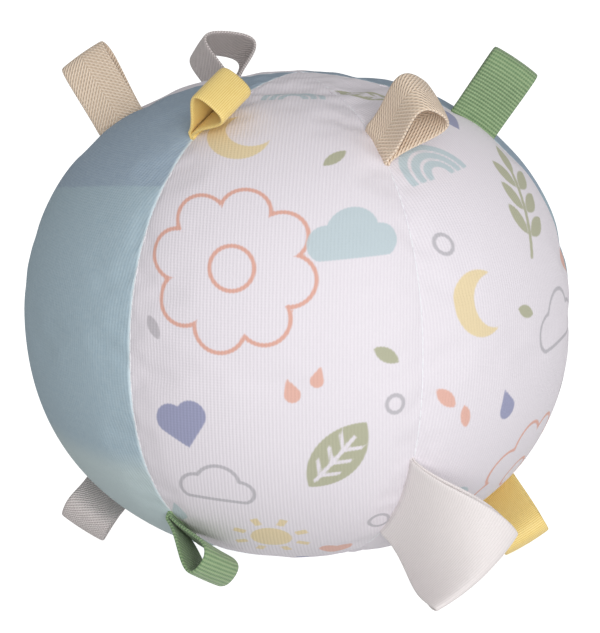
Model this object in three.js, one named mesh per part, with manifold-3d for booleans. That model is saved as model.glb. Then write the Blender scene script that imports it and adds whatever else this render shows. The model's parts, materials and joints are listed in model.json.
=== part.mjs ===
// A soft stuffed ball for a baby, about 130 mm across. Six fabric gores are sewn edge to edge round
// two wads of filling, tape loops and a folded label are caught in the seams, and a rattle with loose
// beads sits in the middle. Units are millimetres and +Z is up, along the axis that the seams meet on.
// The origin is the centre of the ball.

import * as THREE from 'three';
import { mergeVertices } from 'three/addons/utils/BufferGeometryUtils.js';
import Module from 'manifold-3d';

const wasm = await Module();
wasm.setup();

// Ball
const BALL_RADIUS = 65;
const BALL_HALF_HEIGHT = 57.3;
const BALL_FULLNESS = 2.2; // exponent of the outline: 2 is an ellipse, more is squarer
const REST_HEIGHT = 56.4; // from the centre down to the flat that the ball stands on
const CLEARANCE = 0.3; // between pieces that touch

// Cover
const GORE_COUNT = 6;
const COVER_THICKNESS = 1;
const SEAM_ALLOWANCE = 6; // how far the turned-in edges reach below the surface
const SEAM_DIP = 2; // how deep a seam draws the cover in
const SEAM_SHARPNESS = 7; // how close to the seam the dip stays
const SEAM_FADE_RADIUS = 20; // nearer the axis than this, the dip fades out
const THREAD_DIAMETER = 0.7;
const THREAD_POLE_GAP = 4; // from the axis to the upper end of a thread

// Tape loops and label
const TAPE_WIDTH = 13;
const TAPE_THICKNESS = 0.8;
const LABEL_WIDTH = 26;
const LABEL_THICKNESS = 0.6;
const LOOP_NECK = 0.45; // share of a loop's height where its sides start to part

// Rattle
const RATTLE_DIAMETER = 30;
const RATTLE_WALL = 1.5;
const LIP_LENGTH = 2.5; // the upper shell's lip, inside the lower shell
const LIP_WALL = 1;
const BEAD_DIAMETER = 5;
const BEAD_RING_RADIUS = 6;
const BEAD_RING_COUNT = 4;

// Facets
const GORE_STEPS = 6;
const GORE_ROWS = 16;
const SEAM_CROWDING = 1.5; // above 1, a gore's columns crowd towards its seams
const THREAD_SIDES = 5;
const THREAD_STEPS = 16;
const LOOP_SIDE_STEPS = 9;
const FOOT_STEPS = 4;
const TAPE_STEPS = 2;
const LABEL_STEPS = 5;
const LATHE_SEGMENTS = 16;
const LATHE_ARC_STEPS = 6;

const WHITE = 0xe4dfe6;
const BLUE = 0x6d9fc0;
const FILLING = 0xf4f2ec;
const THREAD = 0xdfe6ea;
const YELLOW = 0xe6bd62;
const CREAM = 0xe9dcc6;
const GREEN = 0x8fa98c;
const GREY = 0x8d8f92;
const LABEL_WHITE = 0xf1f1ee;
const SHELL_PLASTIC = 0xe8e8e4;
const BEAD_PLASTIC = 0xd9a441;

// Each loop: the seam it is sewn into, how far up the ball it sits, its size, and how it flops.
// Latitude is measured at the ball's centre, bulge is half the loop's width, tilt leans the loop
// towards the next seam, and twist turns its tip about its own length.
const LOOPS = [
  { name: 'tag_top_1_yellow', seam: 1, latitude: 54, height: 12, bulge: 4.4, tilt: 46, colour: YELLOW },
  { name: 'tag_top_2_cream', seam: 2, latitude: 47, height: 16, bulge: 5.2, tilt: 33, colour: CREAM },
  { name: 'tag_top_3_green', seam: 3, latitude: 48, height: 17, bulge: 3, tilt: 0, colour: GREEN },
  { name: 'tag_top_4_yellow', seam: 4, latitude: 34, height: 16, bulge: 3.6, tilt: 54, colour: YELLOW },
  { name: 'tag_top_5_grey', seam: 5, latitude: 48, height: 16.5, bulge: 7, tilt: -8, colour: GREY },
  { name: 'tag_top_6_cream', seam: 6, latitude: 47, height: 19.5, bulge: 3, tilt: -28, colour: CREAM },
  {
    name: 'tag_bottom_1_green', seam: 1, latitude: -42.5, height: 17, bulge: 3.6, tilt: 60, twist: -15,
    colour: GREEN,
  },
  {
    name: 'tag_bottom_3_yellow', seam: 3, latitude: -42, height: 18, bulge: 3, tilt: -44, twist: 15,
    colour: YELLOW,
  },
  { name: 'tag_bottom_4_cream', seam: 4, latitude: -39, height: 14, bulge: 3.6, tilt: 22, colour: CREAM },
  { name: 'tag_bottom_5_yellow', seam: 5, latitude: -39, height: 14, bulge: 3.6, tilt: -18, colour: YELLOW },
  {
    name: 'tag_bottom_6_grey', seam: 6, latitude: -44, height: 14.5, bulge: 4.2, tilt: 50, twist: -12,
    colour: GREY,
  },
];
const LABEL = {
  name: 'folded_label', seam: 2, latitude: -31, height: 25, bulge: 1.6, tilt: 24, twist: 65,
  colour: LABEL_WHITE,
};

const HALF_GORE = Math.PI / GORE_COUNT;
const FIRST_SEAM = -2 * Math.PI / 3;
const BEYOND = 2 * (BALL_RADIUS + BALL_HALF_HEIGHT);
const UP = new THREE.Vector3(0, 0, 1);
const OUT = new THREE.Vector3(0, 1, 0); // in a loop's own frame
const ball = new THREE.Group();

function addPiece(name, geometry, colour, roughness = 0.95) {
  const material = new THREE.MeshStandardMaterial({ color: colour, roughness, metalness: 0 });
  const mesh = new THREE.Mesh(geometry, material);
  mesh.name = name;
  ball.add(mesh);
  return mesh;
}

// Solids
function toSolid(geometry) {
  const bare = geometry.clone();
  bare.deleteAttribute('normal');
  bare.deleteAttribute('uv');
  const merged = mergeVertices(bare, 1e-4);
  const vertProperties = new Float32Array(merged.attributes.position.array);
  const triVerts = new Uint32Array(merged.index.array);
  return new wasm.Manifold(new wasm.Mesh({ numProp: 3, vertProperties, triVerts }));
}

function toGeometry(solid) {
  const mesh = solid.getMesh();
  const geometry = new THREE.BufferGeometry();
  geometry.setAttribute('position', new THREE.BufferAttribute(mesh.vertProperties, mesh.numProp));
  geometry.setIndex(new THREE.BufferAttribute(mesh.triVerts, 1));
  geometry.computeVertexNormals();
  return geometry;
}

// The ball's outline at a latitude: distance from the axis and height, with the outward normal.
function outline(latitude) {
  const across = Math.abs(Math.cos(latitude)) / BALL_RADIUS;
  const up = Math.abs(Math.sin(latitude)) / BALL_HALF_HEIGHT;
  const reach = (across ** BALL_FULLNESS + up ** BALL_FULLNESS) ** (-1 / BALL_FULLNESS);
  const normal = new THREE.Vector2(
    across ** (BALL_FULLNESS - 1) / BALL_RADIUS,
    Math.sign(latitude) * up ** (BALL_FULLNESS - 1) / BALL_HALF_HEIGHT,
  ).normalize();
  const point = new THREE.Vector2(reach * Math.cos(latitude), reach * Math.sin(latitude));
  return { point, normal };
}

function dipAtSeam(radius) {
  return SEAM_DIP * Math.min(1, radius / SEAM_FADE_RADIUS);
}

// A point of the cover, sunk by an inset, with the dips along the seams and the flat below.
// The share runs from -1 at one seam of a gore to 1 at the next.
function coverPoint(turn, share, latitude, inset) {
  const { point, normal } = outline(latitude);
  const dip = dipAtSeam(point.x) * Math.abs(share) ** SEAM_SHARPNESS;
  const place = point.clone().addScaledVector(normal, -inset - dip);
  const height = Math.max(place.y, inset - REST_HEIGHT);
  return new THREE.Vector3(place.x * Math.cos(turn), place.x * Math.sin(turn), height);
}

// The whole ball, sunk by an inset. Its columns crowd towards the seams, where the cover bends.
function coverSolid(inset) {
  const geometry = new THREE.SphereGeometry(1, GORE_COUNT * GORE_STEPS, GORE_ROWS);
  const { position, uv } = geometry.attributes;
  for (let i = 0; i < position.count; i += 1) {
    const round = (uv.getX(i) % 1) * GORE_COUNT;
    const gore = Math.floor(round);
    const even = 2 * (round - gore) - 1;
    const share = Math.sign(even) * (1 - (1 - Math.abs(even)) ** SEAM_CROWDING);
    const turn = FIRST_SEAM + (2 * gore + 1 + share) * HALF_GORE;
    const latitude = (uv.getY(i) - 0.5) * Math.PI;
    const place = coverPoint(turn, share, latitude, inset);
    position.setXYZ(i, place.x, place.y, place.z);
  }
  return toSolid(geometry);
}

function seamTurn(seam) {
  return FIRST_SEAM + (seam - 1) * 2 * HALF_GORE;
}

// A slab standing on a seam's half plane, from the axis outwards.
function seamSlab(seam, thickness) {
  const slab = new THREE.BoxGeometry(BEYOND, thickness, 2 * BEYOND);
  slab.translate(BEYOND / 2, 0, 0).rotateZ(seamTurn(seam));
  return toSolid(slab);
}

// The sector that one gore fills, half a clearance short of the seams on both sides.
function goreSector(seam) {
  const corner = new THREE.Vector2(CLEARANCE / 2 / Math.sin(HALF_GORE), 0);
  const reach = BEYOND / Math.cos(HALF_GORE);
  const sides = [-HALF_GORE, HALF_GORE].map(
    (turn) => new THREE.Vector2(reach, 0).rotateAround(new THREE.Vector2(), turn).add(corner),
  );
  const sector = new THREE.Shape([corner, ...sides]);
  const prism = new THREE.ExtrudeGeometry(sector, { depth: 2 * BEYOND, bevelEnabled: false });
  prism.translate(0, 0, -BEYOND).rotateZ(seamTurn(seam) + HALF_GORE);
  return toSolid(prism);
}

// Cover gores, each with the turned-in allowance along its two seams
const shell = coverSolid(0).subtract(coverSolid(COVER_THICKNESS));
const allowanceBand = coverSolid(COVER_THICKNESS / 2).subtract(coverSolid(SEAM_ALLOWANCE));
const allowancePair = CLEARANCE + 2 * COVER_THICKNESS;

function goreGeometry(seam) {
  const folds = seamSlab(seam, allowancePair).add(seamSlab(seam + 1, allowancePair));
  const whole = shell.add(allowanceBand.intersect(folds));
  return toGeometry(whole.intersect(goreSector(seam)));
}

const GORES = [
  { name: 'gore_1_print', colour: WHITE },
  { name: 'gore_2_print', colour: WHITE },
  { name: 'gore_3_blue', colour: BLUE },
  { name: 'gore_4_print', colour: WHITE },
  { name: 'gore_5_print', colour: WHITE },
  { name: 'gore_6_blue', colour: BLUE },
];
GORES.forEach(({ name, colour }, i) => addPiece(name, goreGeometry(i + 1), colour));

// Seam threads, lying in the dips
function threadLift(radius) {
  const slope = dipAtSeam(radius) * SEAM_SHARPNESS / (radius * HALF_GORE);
  return (THREAD_DIAMETER / 2 + CLEARANCE) * Math.hypot(1, slope);
}

function threadPoint(latitude) {
  const { point, normal } = outline(latitude);
  return point.clone().addScaledVector(normal, threadLift(point.x) - dipAtSeam(point.x));
}

// The lowest latitude at which the thread stays clear of the surface that the ball stands on.
function threadEnd() {
  const halvings = 40;
  let low = -Math.PI / 2;
  let high = 0;
  for (let i = 0; i < halvings; i += 1) {
    const middle = (low + high) / 2;
    if (threadPoint(middle).y - THREAD_DIAMETER < -REST_HEIGHT) low = middle;
    else high = middle;
  }
  return high;
}

function threadGeometry(seam) {
  const top = Math.acos(THREAD_POLE_GAP / BALL_HALF_HEIGHT);
  const bottom = threadEnd();
  const points = [];
  for (let i = 0; i <= THREAD_STEPS; i += 1) {
    const place = threadPoint(THREE.MathUtils.lerp(top, bottom, i / THREAD_STEPS));
    points.push(new THREE.Vector3(place.x, 0, place.y).applyAxisAngle(UP, seamTurn(seam)));
  }
  const section = new THREE.Shape();
  for (let i = 0; i < THREAD_SIDES; i += 1) {
    const turn = 2 * Math.PI * i / THREAD_SIDES;
    const corner = [THREAD_DIAMETER / 2 * Math.cos(turn), THREAD_DIAMETER / 2 * Math.sin(turn)];
    if (i) section.lineTo(...corner);
    else section.moveTo(...corner);
  }
  const extrudePath = new THREE.CatmullRomCurve3(points);
  return new THREE.ExtrudeGeometry(section, { steps: THREAD_STEPS, extrudePath, bevelEnabled: false });
}

for (let seam = 1; seam <= GORE_COUNT; seam += 1) {
  addPiece(`seam_thread_${seam}`, threadGeometry(seam), THREAD);
}

// Tape loops and label. In a loop's own frame x points towards the next seam, y straight out of the
// ball and z along the seam; the origin is the middle of its rounded foot, which it flops about.
function loopShape({ height, bulge }, thickness) {
  const half = thickness / 2;
  const top = height - half;
  const crownShare = 4 / 9; // of the upper handle's reach, at the widest point of the curve
  const crown = (bulge - half) / crownShare;
  const side = new THREE.CubicBezierCurve(
    new THREE.Vector2(half, 0),
    new THREE.Vector2(half, top * LOOP_NECK),
    new THREE.Vector2(crown, top),
    new THREE.Vector2(0, top),
  );
  const outer = [];
  const inner = [];
  for (let i = 0; i <= LOOP_SIDE_STEPS; i += 1) {
    const share = i / LOOP_SIDE_STEPS;
    const middle = side.getPoint(share);
    const along = side.getTangent(share);
    const out = new THREE.Vector2(along.y, -along.x).multiplyScalar(half);
    outer.push(middle.clone().add(out));
    inner.push(middle.clone().sub(out));
  }
  const mirrored = (points) => points.slice(0, -1).reverse().map((p) => new THREE.Vector2(-p.x, p.y));
  const foot = [];
  for (let i = 1; i < FOOT_STEPS; i += 1) {
    const turn = Math.PI * (1 + i / FOOT_STEPS);
    foot.push(new THREE.Vector2(Math.cos(turn), Math.sin(turn)).multiplyScalar(thickness));
  }
  const parted = inner.filter((p, i) => i === LOOP_SIDE_STEPS || p.x > CLEARANCE / 2);
  const shape = new THREE.Shape([...foot, ...outer, ...mirrored(outer)]);
  shape.holes.push(new THREE.Path([...parted, ...mirrored(parted)]));
  return shape;
}

// How tightly a seam bends at a latitude, from three points along it.
function seamBend(latitude) {
  const step = 0.02;
  const [before, here, after] = [-step, 0, step].map((shift) => outline(latitude + shift).point);
  const chord = after.clone().sub(before);
  const sag = here.clone().sub(before.clone().add(after).multiplyScalar(0.5)).length();
  return 8 * sag / chord.lengthSq();
}

function loopGeometry(loop, width, thickness, steps) {
  const { height, latitude, twist = 0 } = loop;
  const tape = new THREE.ExtrudeGeometry(loopShape(loop, thickness), {
    depth: width, steps, bevelEnabled: false,
  });
  tape.translate(0, 0, -width / 2);
  const bend = seamBend(THREE.MathUtils.degToRad(latitude));
  const { position } = tape.attributes;
  const place = new THREE.Vector3();
  for (let i = 0; i < position.count; i += 1) {
    place.fromBufferAttribute(position, i);
    const share = Math.max(0, place.y) / height;
    place.y -= bend * place.z ** 2 / 2;
    place.applyAxisAngle(OUT, -THREE.MathUtils.degToRad(twist) * share);
    position.setXYZ(i, place.x, place.y, place.z);
  }
  return tape;
}

function addLoop(loop, width, thickness, steps) {
  const mesh = addPiece(loop.name, loopGeometry(loop, width, thickness, steps), loop.colour);
  const latitude = THREE.MathUtils.degToRad(loop.latitude);
  const { normal } = outline(latitude);
  const seat = threadPoint(latitude).addScaledVector(normal, THREAD_DIAMETER / 2 + CLEARANCE + thickness);
  const turn = seamTurn(loop.seam);
  const aside = new THREE.Vector3(0, 1, 0).applyAxisAngle(UP, turn);
  const out = new THREE.Vector3(normal.x, 0, normal.y).applyAxisAngle(UP, turn);
  const along = new THREE.Vector3().crossVectors(aside, out);
  mesh.position.set(seat.x, 0, seat.y).applyAxisAngle(UP, turn);
  mesh.quaternion.setFromRotationMatrix(new THREE.Matrix4().makeBasis(aside, out, along));
  mesh.rotateZ(-THREE.MathUtils.degToRad(loop.tilt));
}

LOOPS.forEach((loop) => addLoop(loop, TAPE_WIDTH, TAPE_THICKNESS, TAPE_STEPS));
addLoop(LABEL, LABEL_WIDTH, LABEL_THICKNESS, LABEL_STEPS);

// Rattle: two moulded half shells, the upper one with a lip that enters the lower one
function arc(radius, from, to) {
  const points = [];
  for (let i = 0; i <= LATHE_ARC_STEPS; i += 1) {
    const turn = THREE.MathUtils.lerp(from, to, i / LATHE_ARC_STEPS);
    points.push(new THREE.Vector2(radius * Math.cos(turn), radius * Math.sin(turn)));
  }
  return points;
}

function lathe(profile) {
  return new THREE.LatheGeometry(profile, LATHE_SEGMENTS).rotateX(Math.PI / 2);
}

const QUARTER = Math.PI / 2;
const shellRadius = RATTLE_DIAMETER / 2;
const hollowRadius = shellRadius - RATTLE_WALL;
const lipTip = Math.sqrt(hollowRadius ** 2 - LIP_LENGTH ** 2);
const lipRadius = lipTip - CLEARANCE;
const lipFoot = Math.asin((LIP_LENGTH + CLEARANCE) / hollowRadius);
const partingHeight = CLEARANCE / 2;

const lowerProfile = [...arc(shellRadius, -QUARTER, 0), ...arc(hollowRadius, 0, -QUARTER)];
const upperProfile = [
  new THREE.Vector2(lipRadius - LIP_WALL, -LIP_LENGTH),
  new THREE.Vector2(lipRadius, -LIP_LENGTH),
  new THREE.Vector2(lipRadius, partingHeight),
  ...arc(shellRadius, partingHeight / shellRadius, QUARTER),
  ...arc(hollowRadius, QUARTER, lipFoot),
  new THREE.Vector2(lipRadius - LIP_WALL, LIP_LENGTH + CLEARANCE),
  new THREE.Vector2(lipRadius - LIP_WALL, -LIP_LENGTH),
];
addPiece('rattle_shell_lower', lathe(lowerProfile), SHELL_PLASTIC, 0.4);
addPiece('rattle_shell_upper', lathe(upperProfile), SHELL_PLASTIC, 0.4);

// Beads, lying in the lower shell: one in the middle and a ring round it
function addBead(number, radius, turn) {
  const reach = hollowRadius * Math.cos(Math.PI / LATHE_SEGMENTS) - BEAD_DIAMETER / 2 - CLEARANCE;
  const bead = new THREE.IcosahedronGeometry(BEAD_DIAMETER / 2, 1);
  const mesh = addPiece(`rattle_bead_${number}`, bead, BEAD_PLASTIC, 0.3);
  const height = -Math.sqrt(reach ** 2 - radius ** 2);
  mesh.position.set(radius * Math.cos(turn), radius * Math.sin(turn), height);
}

addBead(1, 0, 0);
for (let i = 0; i < BEAD_RING_COUNT; i += 1) {
  addBead(i + 2, BEAD_RING_RADIUS, 2 * Math.PI * i / BEAD_RING_COUNT);
}

// Filling: two wads that meet in the middle, slotted for the allowances and hollowed for the rattle
const slotBand = coverSolid(0).subtract(coverSolid(SEAM_ALLOWANCE + CLEARANCE));
const slotWidth = allowancePair + 2 * CLEARANCE;
const pocketArc = arc(shellRadius + CLEARANCE, -QUARTER, 0);
const pocket = toSolid(lathe([...pocketArc, ...arc(shellRadius + CLEARANCE, 0, QUARTER).slice(1)]));
let filling = coverSolid(COVER_THICKNESS + CLEARANCE).subtract(pocket);
for (let seam = 1; seam <= GORE_COUNT; seam += 1) {
  filling = filling.subtract(slotBand.intersect(seamSlab(seam, slotWidth)));
}

function halfSpace(side) {
  const block = new THREE.BoxGeometry(2 * BEYOND, 2 * BEYOND, BEYOND);
  return toSolid(block.translate(0, 0, side * (BEYOND / 2 + CLEARANCE / 2)));
}

addPiece('filling_upper', toGeometry(filling.intersect(halfSpace(1))), FILLING);
addPiece('filling_lower', toGeometry(filling.intersect(halfSpace(-1))), FILLING);

export default ball;
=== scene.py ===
# %% [markdown]
# This lesson dresses a soft stuffed ball for a baby. Six gores of knitted cotton are sewn edge to edge,
# short loops of tape and a folded label are caught in the seams, and a rattle sits in the filling.
# The construction comes from a imported model, which is loaded first and is never moved. Each piece
# below is modelled over one of its solids and takes that solid's place, and all pieces but the tape
# loops and the label move with the same body.

# %% Load the construction
import json
import math

import bmesh
import bpy
import numpy as np
from mathutils import Matrix, Vector, noise


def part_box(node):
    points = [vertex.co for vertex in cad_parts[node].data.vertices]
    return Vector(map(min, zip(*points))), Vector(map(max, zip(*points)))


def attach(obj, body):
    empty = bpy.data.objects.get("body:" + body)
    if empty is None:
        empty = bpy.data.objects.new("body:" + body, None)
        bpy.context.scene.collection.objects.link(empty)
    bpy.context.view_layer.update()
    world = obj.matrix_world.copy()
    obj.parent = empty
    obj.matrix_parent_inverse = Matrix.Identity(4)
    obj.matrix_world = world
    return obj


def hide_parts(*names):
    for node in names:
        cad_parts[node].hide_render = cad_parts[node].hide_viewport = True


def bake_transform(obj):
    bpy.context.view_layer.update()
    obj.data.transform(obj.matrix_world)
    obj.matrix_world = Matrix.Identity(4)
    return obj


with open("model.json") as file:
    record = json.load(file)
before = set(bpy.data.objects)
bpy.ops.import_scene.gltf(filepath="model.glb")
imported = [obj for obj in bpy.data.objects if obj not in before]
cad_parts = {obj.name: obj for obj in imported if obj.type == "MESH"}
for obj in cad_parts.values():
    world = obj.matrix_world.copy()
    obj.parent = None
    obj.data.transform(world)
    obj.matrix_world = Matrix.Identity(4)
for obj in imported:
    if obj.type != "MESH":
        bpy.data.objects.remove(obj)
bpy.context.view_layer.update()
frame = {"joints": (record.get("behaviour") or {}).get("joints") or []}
scene = bpy.context.scene
MM = 0.001

# %% [markdown]
# The ball stands about 0.6 m from a long lens, which looks down on it by some 12 degrees, so the
# camera is placed by its turn, its rise and its distance. The pictured ball sits slightly left of and
# above the middle of the frame, and the lens shift does that without turning the camera.

# %% Camera
CAMERA_TURN = math.radians(5.04)
CAMERA_RISE = math.radians(11.62)
CAMERA_DISTANCE = 585 * MM
CAMERA_LENS = 139.1
FRAME_HEIGHT = 633
BALL_LEFT_OF_MIDDLE = 1.9
BALL_ABOVE_MIDDLE = 5.7


def towards(turn, rise):
    """The direction from the ball to something at that turn from the front and rise."""
    level = math.cos(rise)
    return Vector((math.sin(turn) * level, -math.cos(turn) * level, math.sin(rise)))


camera = bpy.data.objects.new("camera", bpy.data.cameras.new("camera"))
scene.collection.objects.link(camera)
camera.location = towards(CAMERA_TURN, CAMERA_RISE) * CAMERA_DISTANCE
camera.rotation_euler = camera.location.to_track_quat("Z", "Y").to_euler()
camera.data.lens = CAMERA_LENS
camera.data.shift_x = BALL_LEFT_OF_MIDDLE / FRAME_HEIGHT
camera.data.shift_y = -BALL_ABOVE_MIDDLE / FRAME_HEIGHT
camera.data.clip_start = 10 * MM
scene.camera = camera
print("camera at", [round(c, 3) for c in camera.location])

# %% [markdown]
# Every material below is made of nodes. One function turns the colours that are typed as sRGB hex
# values into linear light, and one adds a node with its settings, values and links, so that each
# material reads as a short list of steps. A wave texture has its own period, so a pattern's scale
# is that period over the pattern's real pitch in millimetres.

# %% Material helpers
WAVE_PERIOD = math.pi / 10


def linear(colour):
    """An sRGB hex colour as linear red, green, blue and alpha."""
    shares = [int(colour[i:i + 2], 16) / 255 for i in (0, 2, 4)]
    return [s / 12.92 if s <= 0.04045 else ((s + 0.055) / 1.055) ** 2.4 for s in shares] + [1.0]


def add(tree, kind, inputs=None, **settings):
    """Adds a node. An input takes a value, or another node or socket to link from."""
    node = tree.nodes.new("ShaderNode" + kind)
    for name, value in settings.items():
        setattr(node, name, value)
    for key, value in (inputs or {}).items():
        by_name = [s for s in node.inputs if s.enabled and s.name == key]
        socket = by_name[0] if by_name else node.inputs[key]
        if isinstance(value, bpy.types.Node):
            value = next(s for s in value.outputs if s.enabled)
        if isinstance(value, bpy.types.NodeSocket):
            tree.links.new(value, socket)
        else:
            socket.default_value = value
    return node


def new_material(name):
    """An empty material with its node tree."""
    material = bpy.data.materials.new(name)
    material.use_nodes = True
    material.node_tree.nodes.clear()
    return material, material.node_tree


def finish_surface(tree, colour, height=None, relief=0.1, **sockets):
    """Ends a material: a bump as deep as relief, in mm, under the shader with these sockets."""
    inputs = {key.replace("_", " "): value for key, value in sockets.items()}
    inputs["Base Color"] = colour
    if height is not None:
        inputs["Normal"] = add(tree, "Bump", {"Strength": 1.0, "Distance": relief * MM, "Height": height})
    shader = add(tree, "BsdfPrincipled", inputs)
    add(tree, "OutputMaterial", {"Surface": shader})


def mixed(tree, factor, first, second):
    """A colour between two, which may be hex values, nodes or sockets."""
    pair = [linear(c) if isinstance(c, str) else c for c in (first, second)]
    return add(tree, "Mix", {"Factor": factor, "A": pair[0], "B": pair[1]}, data_type="RGBA")


print("a wave texture repeats every", round(WAVE_PERIOD, 4))

# %% [markdown]
# The studio is a white table under soft light. A large softbox stands behind the camera and a little to
# its right, because the middle of the pictured ball is its brightest part and its top falls off, and
# a weaker one fills from the right. A lit table would also brighten the ball from below, which the
# picture doesn't show, so the table is hidden from bounced light and from shadow rays.

# %% Studio
REST_HEIGHT = 56.4
FLOOR_RADIUS = 6.0
AMBIENT = 0.4
BOARD_GRAIN = 900.0
# Each softbox's turn and rise in degrees, its distance and size in metres, and its power in watts
SOFTBOXES = {
    "front_softbox": (14, 9, 1.3, 0.9, 10.7),
    "side_softbox": (62, 10, 1.4, 0.9, 2.8),
}

world = bpy.data.worlds.new("studio")
world.use_nodes = True
world.node_tree.nodes["Background"].inputs["Color"].default_value = linear("ffffff")
world.node_tree.nodes["Background"].inputs["Strength"].default_value = AMBIENT
scene.world = world
scene.view_settings.view_transform = "Standard"

for name, (turn, rise, distance, size, watts) in SOFTBOXES.items():
    lamp = bpy.data.lights.new(name, "AREA")
    lamp.size = size
    lamp.energy = watts
    softbox = bpy.data.objects.new(name, lamp)
    softbox.location = towards(math.radians(turn), math.radians(rise)) * distance
    softbox.rotation_euler = softbox.location.to_track_quat("Z", "Y").to_euler()
    scene.collection.objects.link(softbox)

# Matt white board: it glows a little, as a lit table does, so that the ground stays white
material, tree = new_material("matt_white_board")
grain = add(tree, "TexNoise", {"Scale": BOARD_GRAIN, "Detail": 2.0})
finish_surface(tree, mixed(tree, grain, "f6f6f6", "fafafa"), Roughness=0.9,
               Emission_Color=linear("ffffff"), Emission_Strength=0.8)

bm = bmesh.new()
bmesh.ops.create_circle(bm, cap_ends=True, segments=64, radius=FLOOR_RADIUS)
bmesh.ops.translate(bm, verts=bm.verts, vec=(0, 0, -REST_HEIGHT * MM))
floor_mesh = bpy.data.meshes.new("table")
bm.to_mesh(floor_mesh)
bm.free()
floor = bpy.data.objects.new("table", floor_mesh)
floor_mesh.materials.append(material)
scene.collection.objects.link(floor)
floor.visible_diffuse = False
floor.visible_shadow = False
print("softboxes:", len(SOFTBOXES))

# %% [markdown]
# The ball is a little flatter than a sphere and a little squarer, so its outline is a superellipse.
# Each seam draws the cloth in by about a millimetre, close to the seam only, and the ball stands
# on a small flat. The same formula places the cover, the stitches and the feet of the loops.

# %% The ball's form
BALL_RADIUS = 65.0
BALL_HALF_HEIGHT = 57.3
BALL_FULLNESS = 2.2
GORE_COUNT = 6
SEAM_DIP = 1.1
SEAM_SHARPNESS = 7
SEAM_FADE_RADIUS = 20.0
CLEARANCE = 0.3
SEAM_GAP = 0.02
HALF_GORE = math.pi / GORE_COUNT
QUARTER = math.pi / 2
FIRST_SEAM = -2 * math.pi / 3
OUTLINE_POINTS = 361


def outline(latitude):
    """The outline's distance from the axis and height, and its outward normal, in mm."""
    across = abs(math.cos(latitude)) / BALL_RADIUS
    up = abs(math.sin(latitude)) / BALL_HALF_HEIGHT
    reach = (across ** BALL_FULLNESS + up ** BALL_FULLNESS) ** (-1 / BALL_FULLNESS)
    point = Vector((reach * math.cos(latitude), reach * math.sin(latitude)))
    steep = BALL_FULLNESS - 1
    rise = math.copysign(up ** steep / BALL_HALF_HEIGHT, latitude)
    return point, Vector((across ** steep / BALL_RADIUS, rise)).normalized()


def seam_dip(radius):
    """How deep a seam lies at that distance from the axis."""
    return SEAM_DIP * min(1, radius / SEAM_FADE_RADIUS)


def seam_turn(seam):
    """The angle of a seam about the axis."""
    return FIRST_SEAM + (seam - 1) * 2 * HALF_GORE


def standing(point, turn):
    """A point of the outline's plane, turned about the axis, in metres."""
    return Vector((point.x * math.cos(turn), point.x * math.sin(turn), point.y)) * MM


def cover_point(turn, share, latitude, inset):
    """A point of the cover. The share runs from -1 at one seam of a gore to 1 at the next."""
    point, normal = outline(latitude)
    dip = seam_dip(point.x) * abs(share) ** SEAM_SHARPNESS
    place = point - normal * (inset + dip)
    place.y = max(place.y, inset - REST_HEIGHT)
    return standing(place, turn)


latitudes = np.linspace(-QUARTER, QUARTER, OUTLINE_POINTS)
meridian = np.array([outline(latitude)[0][:] for latitude in latitudes])
arc = np.concatenate([[0], np.cumsum(np.linalg.norm(np.diff(meridian, axis=0), axis=1))])
arc -= arc[-1] / 2
print("seam length in mm:", round(2 * arc[-1], 1))

# %% [markdown]
# A finished piece is a mesh at the origin with its place in its vertices. These helpers end a bmesh,
# shade it smooth, give it its material, ride it on its body and hide the solid that it stands for. Two
# more add a Subdivision Surface and apply a piece's modifiers.

# %% Piece helpers
def piece_from(bm, name):
    """A new object made from a bmesh, smooth all over."""
    mesh = bpy.data.meshes.new(name)
    bm.to_mesh(mesh)
    bm.free()
    mesh.shade_smooth()
    piece = bpy.data.objects.new(name, mesh)
    scene.collection.objects.link(piece)
    return piece


def dress(piece, material, body, slot, *nodes):
    """Gives a piece its material and the body that it rides on, if any, and hides the nodes that it stands
    for.
    """
    piece.data.materials.clear()
    piece.data.materials.append(material)
    if body:
        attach(piece, body)
    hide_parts(*nodes)


def settle(piece):
    """Applies a piece's modifiers to its mesh."""
    shown = piece.evaluated_get(bpy.context.evaluated_depsgraph_get())
    mesh = bpy.data.meshes.new_from_object(shown, preserve_all_data_layers=True,
                                           depsgraph=bpy.context.evaluated_depsgraph_get())
    piece.modifiers.clear()
    piece.data = mesh


def subdivide(piece, levels):
    """Adds a Subdivision Surface with the same level in the view and the render."""
    smooth = piece.modifiers.new("smooth", "SUBSURF")
    smooth.levels = levels
    smooth.render_levels = levels


# %% [markdown]
# The cover is six lens-shaped cuts of knitted cotton. A gore could be cut from a sphere, but a grid
# that is bent over the ball keeps the cloth's own directions: its UV map is the flat cut in
# millimetres, so the knit runs straight from pole to pole and the print lies on it as on the roll.
# All six grids share one mesh here, because one simulation then swells them together.

# %% Cut the six gores
GORE_NAMES = ("gore_1_print", "gore_2_print", "gore_3_blue", "gore_4_print", "gore_5_print", "gore_6_blue")
GORE_COLUMNS = 30
GORE_ROWS = 80
SEAM_CROWDING = 1.5
SWELL = 1.0
POLE_LAP = 0.6
POLE_REACH = 6.0
MERGE_DISTANCE = 1e-3 * MM


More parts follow.
